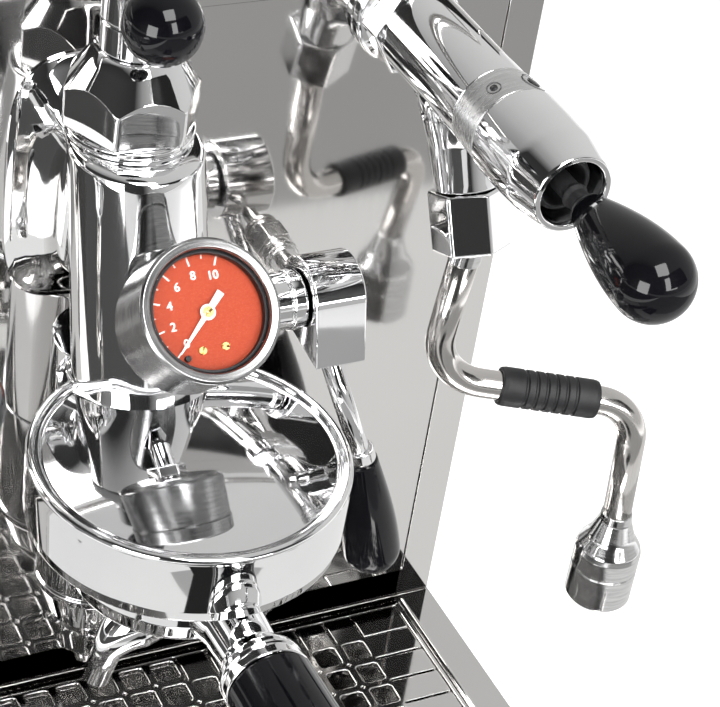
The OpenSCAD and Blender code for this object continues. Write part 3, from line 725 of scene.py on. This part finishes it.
def lower_chamber():
    low, high = node_box("lower_chamber")
    base = Vector((0, CAP.y, 0))
    cone, collar = low.z + 17, low.z + 31
    profile = rounded([(0, cone - 0.4), (13, cone - 0.4, 0.4), (13.6, cone, 0.4), (18.2, collar - 1, 1),
                       (19.1, collar, 0.5), (19.1, collar + 2.4, 0.7), (18.5, collar + 3.1, 0.3),
                       (SOCKET_R, high.z, 0.3), (0, high.z)])
    lathe("lower_chamber_body", profile, base, Z, ROOT, "chrome", ["lower_chamber"])
    prism("lower_chamber_nut", hexagon(24.5, 8), base + Z * (low.z + 13.3), Z, 3.9, bevel=0.6)
    prism("lower_chamber_tail", hexagon(17, 8), base + Z * low.z, Z, 13.8, bevel=0.6)


def drain_pipe():
    low, high = node_box("drain_pipe")
    pipe = rounded([(2.4, 0), (3.3, 0, 0.3), (3.3, high.z - low.z + 0.3, 0), (2.4, high.z - low.z + 0.3)],
                   0.2, closed=True)
    lathe("drain_pipe_tube", pipe, Vector((0, CAP.y, low.z)), Z, ROOT, "steel_rail", ["drain_pipe"],
          sides=48, closed=True)


# ---------------- lever
LEVER_TOP, LEVER_JOINT, LEVER_END = (Vector(p) for p in (
    (64, -37, CAM.z - 12.6), (87, -37.5, 110), (99.5, -37.5, 57.5)))


def lever():
    low, high = node_box("cam_housing")
    length = high.x - low.x
    profile = rounded([(0, -2), (9.25, -2, 0.3), (9.25, length - 5.4, 0.3), (8.8, length - 5.2, 0.2),
                       (8.8, length - 4.6, 0.2), (9.7, length - 4.4, 0.4), (9.7, length - 0.1, 0.5),
                       (5.4, length - 0.1, 0.2), (5.4, length - 3, 0), (0, length - 3)], 0.3)
    lathe("cam_housing_body", profile, Vector((low.x, CAM.y, CAM.z)), X, ROOT, "chrome", ["cam_housing"])
    start, radius, first, last = 55.4, 13.5, -86, 165.2
    outline = [polar(radius, first + (last - first) * k / 40) for k in range(41)] + [(-18.0, -15.6)]
    prism("lever_hub_block", outline, Vector((start, CAM.y, CAM.z)), X,
          node_box("lever_hub")[1].x - start, "brew_lever", "chrome", ["lever_hub"], bevel=0.7, up=Z, steps=4)
    lathe("lever_axle", rounded([(0, 0), (5, 0, 0.3), (5, 12, 0), (0, 12)], 0.3),
          Vector((44, CAM.y, CAM.z)), X, "brew_lever", "chrome", sides=48)
    down = LEVER_END - LEVER_JOINT
    sweep("lever_rod_bar", round_path([LEVER_TOP, LEVER_JOINT, LEVER_JOINT + unit(down) * 9], 20), 3.5,
          "brew_lever", "chrome", ["lever_rod"])
    lathe("lever_handle_grip", drop_profile(down.length, 10.2, 5.4, 1.1), LEVER_JOINT, down, "brew_lever",
          "gloss_black", ["lever_handle"])
    ferrule = rounded([(0, -4), (4.6, -4, 0.4), (5.0, -0.1, 0.3), (5.0, 0.4, 0.2), (0, 0.4)], 0.3)
    lathe("lever_ferrule", ferrule, LEVER_JOINT, down, "brew_lever", "chrome", sides=48)


# ---------------- gauge
GAUGE_AXIS = unit(Vector(JOINTS["needle_turn"]["axis"]))
GAUGE_UP = unit(Z - GAUGE_AXIS * Z.dot(GAUGE_AXIS))
ZERO_ANGLE = 225.0
STEP_ANGLE = 31.4


def on_dial(u, v, depth):
    return FACE + X * u + GAUGE_UP * v + GAUGE_AXIS * depth


def gauge():
    r = 20.5
    case = rounded([(0, -26.4), (r - 2.2, -26.4, 0.5), (r, -24.8, 1), (r, -7.3, 0.25),
                    (r - 0.35, -7.1, 0.1), (r - 0.35, -6.8, 0.1), (r + 0.4, -6.6, 0.3),
                    (r + 0.5, -0.8, 0.6), (r - 0.3, 0, 0.5), (r - 2.4, -0.2, 0.4),
                    (r - 2.8, -1.0, 0.3), (r - 2.8, -5, 0), (0, -5)], 0.4)
    lathe("gauge_case_body", case, FACE, GAUGE_AXIS, ROOT, "gauge_steel", ["gauge_case"], sides=128)
    inner = rounded([(r - 3.9, -1.7), (r - 2.82, -1.7, 0), (r - 2.82, -4.8, 0), (r - 3.9, -4.8, 0)],
                    0.1, closed=True)
    lathe("gauge_seal", inner, FACE, GAUGE_AXIS, ROOT, "rubber", closed=True)
    dial = rounded([(0.6, -4.9), (r - 2.9, -4.9, 0), (r - 2.9, -4.3, 0.1), (0.6, -4.3, 0.1)], 0.1,
                   closed=True)
    lathe("gauge_dial_plate", dial, FACE, GAUGE_AXIS, ROOT, "dial_orange", ["gauge_dial"],
          closed=True)
    glass = rounded([(0, -1.6), (r - 2.9, -1.6, 0.1), (r - 2.9, -0.6, 0.1), (0, -0.6)], 0.1)
    lathe("gauge_window", glass, FACE, GAUGE_AXIS, ROOT, "glass", ["gauge_glass"])
    dial_marks()
    needle()
    gauge_fitting()


def dial_mark(name, outline, depth, height, body, slot, stands_for=()):
    """A thin raised mark on the dial; the outline is in the dial's own plane."""
    verts = [on_dial(x, y, level) for level in (depth, depth + height) for x, y in outline]
    faces = end_faces(2, len(outline)) + ring_faces(2, len(outline))
    return from_lists(name, verts, faces, body, slot, stands_for)


def spoke(angle, start, end, width):
    """A short bar that points at the dial's centre."""
    along, across = Vector(polar(1, angle)), Vector(polar(1, angle + 90))
    return [along * start + across * width / 2, along * start - across * width / 2,
            along * end - across * width / 2, along * end + across * width / 2]


def dial_marks():
    depth = -4.3
    for i in range(11):
        inner, width = (15.4, 0.28) if i % 2 else (13.9, 0.42)
        tick = spoke(ZERO_ANGLE - STEP_ANGLE * i / 2, inner, 16.6, width)
        dial_mark(f"dial_tick_{i}", tick, depth, 0.06, ROOT, "needle_white")
    for i, number in enumerate((0, 2, 4, 6, 8, 10)):
        dial_number(number, *polar(11.0, ZERO_ANGLE - STEP_ANGLE * i), depth)
    for i, (u, v) in enumerate(((-3.6, -10.4), (3.4, -10.2))):
        screw_head(f"dial_screw_{i + 1}", u, v, depth, 1.15)
    pin = rounded([(0, 0), (0.9, 0, 0), (0.9, 1.3, 0.2), (0, 1.3)], 0.2)
    lathe("dial_stop_pin", pin, on_dial(-8.6, -12.0, depth), GAUGE_AXIS, ROOT, "rubber", sides=24)


def dial_number(number, u, v, depth):
    curve = bpy.data.curves.new(f"number_{number}", "FONT")
    curve.body = str(number)
    curve.size = 3.5
    curve.align_x = curve.align_y = "CENTER"
    curve.extrude = 0.03
    curve.offset = 0.04
    holder = put_in_scene("number_shape", curve)
    bpy.context.view_layer.update()
    mesh = bpy.data.meshes.new_from_object(holder.evaluated_get(
        bpy.context.evaluated_depsgraph_get()))
    bpy.data.objects.remove(holder)
    for vertex in mesh.vertices:
        x, y, z = vertex.co
        vertex.co = at(*on_dial(u + x, v + y, depth + 0.03 + z))
    mesh.materials.clear()
    finish_mesh(f"dial_number_{number}", mesh, ROOT, "needle_white")
    mesh.polygons.foreach_set("use_smooth", [False] * len(mesh.polygons))


def screw_head(name, u, v, depth, r, body=ROOT):
    """A small slotted brass screw."""
    slot = 0.22 * r
    outline = [polar(r, a) for a in range(0, 360, 15)]
    centre = Vector((u, v))
    turn = Matrix.Rotation(math.radians(28 + 40 * u), 2)
    for part, keep in (("a", 1), ("b", -1)):
        half = [(x, keep * max(y * keep, slot)) for x, y in outline if y * keep > -TINY]
        half = [tuple(turn @ Vector(p) + centre) for p in half]
        piece = dial_mark(f"{name}_{part}", half, depth, 0.55, body, "brass")
        soften(piece, 0.12, 2)
    disc = [tuple(Vector(p) * 0.98 + centre) for p in outline]
    dial_mark(f"{name}_base", disc, depth, 0.25, body, "brass")


def needle():
    turn = Matrix.Rotation(math.radians(ZERO_ANGLE - 90), 2)
    arm = [(-0.75, 1.5), (-0.22, 14.8), (0.22, 14.8), (0.75, 1.5)]
    tail = [(-0.9, -1.5), (0.9, -1.5), (1.15, -7.2), (-1.15, -7.2)]
    disc = [polar(2.3, a) for a in range(0, 360, 10)]
    for name, outline, depth, stands in (("needle_arm", arm, -3.5, ["gauge_needle"]),
                                         ("needle_tail", tail, -3.5, ()),
                                         ("needle_disc", disc, -3.45, ())):
        outline = [tuple(turn @ Vector(p)) for p in outline]
        piece = dial_mark(name, outline, depth, 0.35, "gauge_needle", "needle_white", stands)
        soften(piece, 0.08, 2)
    screw_head("needle_screw", 0.0, 0.0, -3.1, 1.6, "gauge_needle")
    boss = rounded([(0, -4.85), (0.9, -4.85, 0), (0.9, -3.4, 0), (0, -3.4)], 0.1)
    lathe("needle_spindle", boss, FACE, GAUGE_AXIS, "gauge_needle", "brass", sides=24)


def gauge_fitting():
    """A straight stem from the back of the case to a lobed collar on the column."""
    back = FACE - GAUGE_AXIS * 26.4
    stem = rounded([(0, 0), (5.4, 0, 0.3), (5.4, 1.2, 0.3), (4, 5, 0.6), (4, 20.6, 1), (6.6, 21.4, 0.8),
                    (8.3, 25, 2), (8.3, 30, 1), (0, 30)], 0.4)
    lathe("gauge_stem", stem, back, -GAUGE_AXIS, ROOT, "chrome", ["gauge_fitting"], sides=64)
    prism("gauge_nut", hexagon(13, 10), back - GAUGE_AXIS * 0.8, -GAUGE_AXIS, 5, bevel=0.5)
    for k in range(6):
        across, up = polar(5.6, 60 * k + 15)
        lobe = rounded([(0, 0), (2.2, 0, 1), (2.9, 2, 1.2), (2.9, 6, 0.5), (0, 6)])
        lathe(f"gauge_collar_lobe_{k + 1}", lobe,
              back - GAUGE_AXIS * 21.6 + X * across + GAUGE_UP * up, -GAUGE_AXIS, sides=24)


# ---------------- portafilter
def portafilter():
    base = Vector((0, BELL.y, 0))
    low, high = node_box("portafilter_body")
    cup = rounded([(0, low.z), (26, low.z, 2), (33.6, low.z + 6, 3), (35, low.z + 12, 3),
                   (35, high.z, 0.5), (31, high.z, 0.4), (30.6, low.z + 5.4, 0.5), (0, low.z + 5.4)], 0.6)
    body = "portafilter"
    lathe("portafilter_cup", cup, base, Z, body, "chrome", ["portafilter_body"], sides=128)
    ear = [(33.5, -12), (36.6, -10), (37.1, -4), (37.1, 4), (36.6, 10), (33.5, 12)]
    for side, word in ((-1, "left"), (1, "right")):
        prism(f"portafilter_ear_{word}", [(x * side, y) for x, y in ear],
              Vector((0, BELL.y, 145.3)), Z, 4.3, body, "chrome", bevel=0.5)
    neck = rounded([(0, 28), (12.6, 28, 0.5), (9.6, 40, 9), (8.9, 53.4, 1.2), (10.2, 54.4, 0.8),
                    (12.6, 58.4, 2.2), (12.9, 60.6, 0.8), (11.9, 61.4, 0.4), (12.9, 62.2, 0.5),
                    (13.2, 65.6, 0.5), (0, 65.6)])
    h_low, h_high = node_box("portafilter_handle")
    axis_z, length = (h_low.z + h_high.z) / 2, h_high.y - h_low.y
    lathe("portafilter_neck", neck, Vector((0, BELL.y, axis_z)), -Y, body, "chrome")
    grip = [(0, 0), (12.6, 0, 0.3), (13.4, 0.8, 0.5), (13.4, 6, 4)]
    grip += [(13.4 + 1.15 * math.sin(math.pi / 2 * i / 8), 6 + (length - 36) * i / 8, 4)
             for i in range(1, 9)]
    grip += [(14.0, length - 18, 6), (11.6, length - 6, 5), (5.5, length - 0.4, 4), (0, length - 0.1)]
    lathe("portafilter_grip", rounded(grip, 2), Vector((0, h_high.y, axis_z)), -Y, body, "gloss_black",
          ["portafilter_handle"])
    spout(base, body)


def spout(base, body):
    low, high = node_box("portafilter_spout")
    boss = rounded([(0, low.z + 19), (9.4, low.z + 19, 1.5), (11, low.z + 23, 1.2), (11, high.z - 1, 0.5),
                    (10.4, high.z - 0.2, 0.3), (0, high.z - 0.2)])
    lathe("spout_boss", boss, base, Z, body, "chrome", ["portafilter_spout"], sides=64)
    for side, name in ((-1, "left"), (1, "right")):
        path = round_path([base + Vector((0, 0, 110)), base + Vector((side * 19, 0, 101)),
                           base + Vector((side * 24, 0, low.z + 0.1))], 15, 16)
        count = len(path)
        radii = [8.6 - 4.3 * (i / (count - 1)) ** 1.2 for i in range(count)]
        sweep(f"spout_{name}", path, radii, body, "chrome")


# ---------------- valves and wands
OUTLET_AXIS = unit(WAND_BALL - OUTLET_START)


def valve_centre(side):
    return mirrored((STICK.x, 0, STICK.z), side)


def valve(side, word):
    body_name = f"valve_{word}"
    centre = valve_centre(side)
    profile = rounded([(0, 0.05), (17, 0.05, 0.6), (17, 4.4, 1.2), (13.4, 5.4, 0.5), (13.4, 15.5, 0.4),
                       (13.9, 16, 0.5), (13.8, 61.6, 0.3), (13.3, 62, 0.2), (0, 62)])
    lathe(f"{body_name}_barrel", profile, centre, -Y, ROOT, "chrome", [body_name])
    prism(f"{body_name}_panel_nut", hexagon(28.6, 0), centre - Y * 5.2, -Y, 9.4, bevel=0.8)
    band = rounded([(0, 62), (14.1, 62, 0.3), (14.25, 74.8, 0.3), (0, 74.8)], 0.2)
    lathe(f"{body_name}_band", band, centre, -Y, ROOT, "gauge_steel", material="satin")
    cap = [(0, 74.9), (14.2, 74.9, 0.3), (15, 76.2, 0.6), (15, 88, 20), (14.6, 97, 20), (12.5, 108.4, 1),
           (12.1, 109, 0.5), (10.6, 109, 0.5), (10.1, 107.5, 0.5), (10, 91, 0.3), (0, 91)]
    lathe(f"{body_name}_cap", rounded(cap, 0.5, 6), centre, -Y)
    band_marks(side, word, centre)
    outlet(side, word)


def band_marks(side, word, centre):
    """A ring round a dot on the satin band, twice, as thin dark inlays."""
    radius, middle, sides = 14.35, -69.4, 40
    for i, (turn, size) in enumerate(((-28, 1.0), (28, 0.55))):
        for part, low, high in (("dot", 0.0, 2.1 * size), ("ring", 3.75 * size, 4.05 * size)):
            verts = []
            for across, along in (polar(r, 360 * k / sides) for r in (low, high) for k in range(sides)):
                x, z = polar(radius, 90 + turn * side + math.degrees(across / radius))
                verts.append(centre + Vector((x, middle + along * 1.05, z)))
            piece = from_lists(f"valve_{word}_mark_{i + 1}_{part}", verts, ring_faces(2, sides), ROOT,
                               "matte_black")
            thick = piece.modifiers.new("thickness", "SOLIDIFY")
            thick.thickness = 0.08 * MM
            thick.offset = 0


def outlet(side, word):
    """Tapered outlet with its gusset, and the nut that holds the wand's ball."""
    axis = mirrored(OUTLET_AXIS, side)
    start = mirrored(OUTLET_START, side)
    profile = rounded([(0, 6), (13, 6, 0), (12.2, 14, 6), (10.9, 22, 8), (10.1, 34, 2), (10, 36.6, 0.4),
                       (0, 36.6)])
    lathe(f"valve_{word}_outlet", profile, start, axis, sides=64)
    outline = [(-14, -8), (-14, -15), (-33, -24), (-44, -33), (-40, -8)]
    prism(f"valve_{word}_gusset", outline, valve_centre(side) - X * 3.4, X, 6.8, bevel=1.8, up=Z, steps=4)
    prism(f"outlet_nut_{word}", hexagon(21.5, 26), start + axis * 37, axis, 19.4, ROOT,
          "chrome", ["outlet_nuts"] if side > 0 else (), bevel=0.9, steps=4)
    ring = rounded([(5.5, 56.2), (8.6, 56.2, 0.2), (8.6, 57.2, 0.4), (5.5, 57.2, 0.3)], 0.2, closed=True)
    lathe(f"outlet_ring_{word}", ring, start, axis, sides=48, closed=True)


def boot_and_joystick(side, word):
    centre = valve_centre(side)
    boot = rounded([(4.6, 91.2), (9.8, 91.2, 0.2), (9.8, 99, 0.5), (9.0, 101.5, 1.0), (8.6, 103.2, 0.6),
                    (7.4, 104.1, 0.4), (6.9, 103.4, 0.3), (5.4, 96, 0.5)], 0.4, closed=True)
    lathe(f"valve_boot_{word}", boot, centre, -Y, ROOT, "rubber",
          ["valve_boots"] if side > 0 else (), sides=64, closed=True)
    node = f"joystick_{word}"
    stem = rounded([(0, 94.2), (3.2, 94.2, 0.3), (3.2, 108, 1), (4.0, 109.6, 0.6), (3.4, 111.2, 0.6),
                    (3.4, 114.6, 0.8), (4.9, 116.0, 0.4), (4.9, 118, 0), (0, 118)], 0.4)
    lathe(f"joystick_stem_{word}", stem, centre, -Y, node, "gloss_black", material="matte_black", sides=48)
    knob = drop_profile(47.3, 12.2, 5.2, 0.95)
    lathe(f"joystick_knob_{word}", knob, centre - Y * 116.6, -Y, node, "gloss_black", [node])


WAND_FIRST, WAND_SECOND = Vector((96.5, -54.6, 155)), Vector((163.1, -79.5, 146.8))
WAND_END = Vector((160.2, -86.4, 107))
GRIP_ENDS = (Vector((118.5, -62.8, 152.3)), Vector((149.5, -74.4, 148.5)))


def wand(side, word):
    body = f"wand_{word}"
    bends = (corner_arc(WAND_BALL, WAND_FIRST, WAND_SECOND, 18, 16)
             + corner_arc(WAND_FIRST, WAND_SECOND, WAND_END, 14.5, 16))
    path = [mirrored(p, side) for p in [WAND_BALL] + bends + [WAND_END]]
    sweep(f"wand_tube_{word}", path, 4.85, body, "wand_steel", [body], sides=48)
    start, axis = path[0], unit(path[1] - path[0])
    ferrule = rounded([(4.84, 3), (5.3, 3, 0.2), (5.3, 8.6, 0.3), (4.84, 9, 0.1)], 0.15, closed=True)
    lathe(f"wand_ferrule_{word}", ferrule, start, axis, body, "wand_steel", material="nozzle",
          sides=64, closed=True)
    a, b = (mirrored(p, side) for p in GRIP_ENDS)
    length = (b - a).length
    outline = [(4.9, 0), (6.2, 0, 0.5), (6.5, 1.6, 0.6)]
    for k in range(6):
        s = 7.5 + 3.4 * k
        outline += [(6.5, s, 0.25), (5.9, s + 0.35, 0.2), (5.9, s + 0.95, 0.2), (6.5, s + 1.3, 0.25)]
    outline += [(6.5, length - 1.6, 0.6), (6.2, length, 0.5), (4.9, length)]
    lathe(f"wand_grip_{word}_sleeve", rounded(outline, 0.3, 2, closed=True), a, b - a, body, "rubber",
          [f"wand_grip_{word}"], sides=64, closed=True)
    top = mirrored(WAND_END, side) - Z
    tip = [(0, -1.5), (5.3, -1.5, 0.4), (5.6, 1.5, 3), (8.0, 8.2, 8), (10.8, 12.4, 2.5), (11.35, 14.4, 0.8),
           (11.35, 20.6, 0.2), (11.0, 20.8, 0.1), (11.0, 21.4, 0.1), (11.35, 21.6, 0.2),
           (11.35, 34, 0.8), (10.2, 35.4, 0.5), (8.8, 35.4, 0.3), (8.6, 33, 0.2), (0, 33)]
    lathe(f"wand_nozzle_{word}_tip", rounded(tip, 0.4, 5), top, -Z, body, "wand_steel",
          [f"wand_nozzle_{word}"], material="nozzle")


# ---------------- studio
# Metres, in the row frame, from here to the end of the studio
FLOOR_REACH = 6.0
CORNERS = ((-1, -1), (1, -1), (1, 1), (-1, 1))
CARD_NEAR, CARD_SPLIT, CARD_FAR = 0.30, -0.362, -2.4
CARD_LEFT, CARD_RIGHT = -0.34, 0.9
CARD_RISE, TOP_CARD_RISE = 0.0012, 0.0018
PALE_SIDE = (0.92, 0.39, 0.0)
LIGHT_DISTANCE, LIGHT_SIZE, LIGHT_POWER = 1.7, 0.85, 26


def stage_quad(name, corners, material):
    mesh = bpy.data.meshes.new(name)
    mesh.from_pydata(corners, [], [(0, 1, 2, 3)])
    mesh.materials.append(material)
    made = put_in_scene(name, mesh)
    return made


def card(name, centre, facing, width, height, grey):
    """A studio card that only reflections see."""
    side, up = cross_frame(Vector(facing))
    corners = [Vector(centre) + side * a * width / 2 + up * b * height / 2 for a, b in CORNERS]
    shader = Shader(f"{name}_paint", Base_Color=(0, 0, 0, 1), Roughness=1.0, Specular_IOR_Level=0.0,
                    Emission_Strength=grey, Emission_Color=(1, 1, 0.99, 1))
    made = stage_quad(name, corners, shader.material)
    for ray in ("camera", "diffuse", "shadow", "transmission"):
        setattr(made, f"visible_{ray}", False)


def floor():
    """A pale floor, and the cards on it that the panel and the chrome mirror."""
    shader = Shader("pale_floor", Specular_IOR_Level=0.2, Emission_Strength=0.45, Roughness=0.8,
                    Emission_Color=(1, 1, 1, 1))
    shader.tint(shader.noise(3, 2), [(0.3, (0.90, 0.90, 0.90)), (0.7, (0.92, 0.92, 0.92))])
    stage_quad("floor", [(a * FLOOR_REACH, b * FLOOR_REACH, 0) for a, b in CORNERS], shader.material)
    middle, width = (CARD_LEFT + CARD_RIGHT) / 2, CARD_RIGHT - CARD_LEFT
    for name, start, end, grey in (("near_card", CARD_NEAR, CARD_SPLIT, 0.87),
                                   ("far_card", CARD_SPLIT, CARD_FAR, 0.41)):
        card(name, (middle, (start + end) / 2, CARD_RISE), Z, width, start - end, grey)
    card("left_card", (CARD_LEFT - 1.16, -0.6, TOP_CARD_RISE), Z, 2, 3.6, 0.08)


def flags():
    """Black cards in front: one for the deck to mirror, one on the floor for the column."""
    card("low_front_flag", (0.64, -0.75, 0.80), (-0.4, 0.9, 0), 0.8, 0.66, 0.02)
    card("floor_flag", (-0.02, -0.40, TOP_CARD_RISE), Z, 0.15, 0.20, 0.02)


def softbox(name, direction):
    data = bpy.data.lights.new(name, "AREA")
    data.shape = "SQUARE"
    data.size = LIGHT_SIZE
    data.energy = LIGHT_POWER
    made = put_in_scene(name, data)
    target = at(0, -60, 200)
    place = target + unit(Vector(direction)) * LIGHT_DISTANCE
    turn = (target - place).to_track_quat("-Z", "Y").to_matrix().to_4x4()
    made.matrix_world = Matrix.Translation(place) @ turn


def world():
    """A room that is pale to the right and behind, and dark where the camera stands."""
    made = bpy.data.worlds.new("studio")
    bpy.context.scene.world = made
    made.use_nodes = True
    nodes = NodeTree(made.node_tree)
    along = nodes.node("ShaderNodeVectorMath", operation="DOT_PRODUCT")
    along.inputs[1].default_value = PALE_SIDE
    nodes.link(nodes.node("ShaderNodeTexCoord").outputs["Generated"], along.inputs[0])
    blend = nodes.node("ShaderNodeMath", operation="MULTIPLY_ADD")
    blend.inputs[1].default_value = blend.inputs[2].default_value = 0.5
    nodes.link(along.outputs["Value"], blend.inputs[0])
    stops = [(0.0, 0.30), (0.06, 0.05), (0.24, 0.03), (0.32, 0.30), (0.45, 0.48), (0.58, 0.57),
             (1.0, 0.72)]
    colour = nodes.ramp(blend.outputs[0], [(place, (grey, grey, grey * 0.99)) for place, grey in stops])
    nodes.link(colour, made.node_tree.nodes["Background"].inputs["Color"])


def studio():
    floor()
    flags()
    world()
    softbox("softbox_low_left", (-0.78, -0.60, 0.15))
    softbox("softbox_over", (0.01, -0.54, 0.84))
    softbox("softbox_right", (0.28, -0.88, 0.38))
    bpy.context.scene.view_settings.view_transform = "Standard"


feet()
cup_rail()
splash_ledge()
drip_grate()
casting()
bell()
cap_nut()
flow_control()
lower_chamber()
drain_pipe()
lever()
gauge()
portafilter()
for side_sign, side_word in ((1, "right"), (-1, "left")):
    valve(side_sign, side_word)
    boot_and_joystick(side_sign, side_word)
    wand(side_sign, side_word)
dress_cad_nodes()
studio()
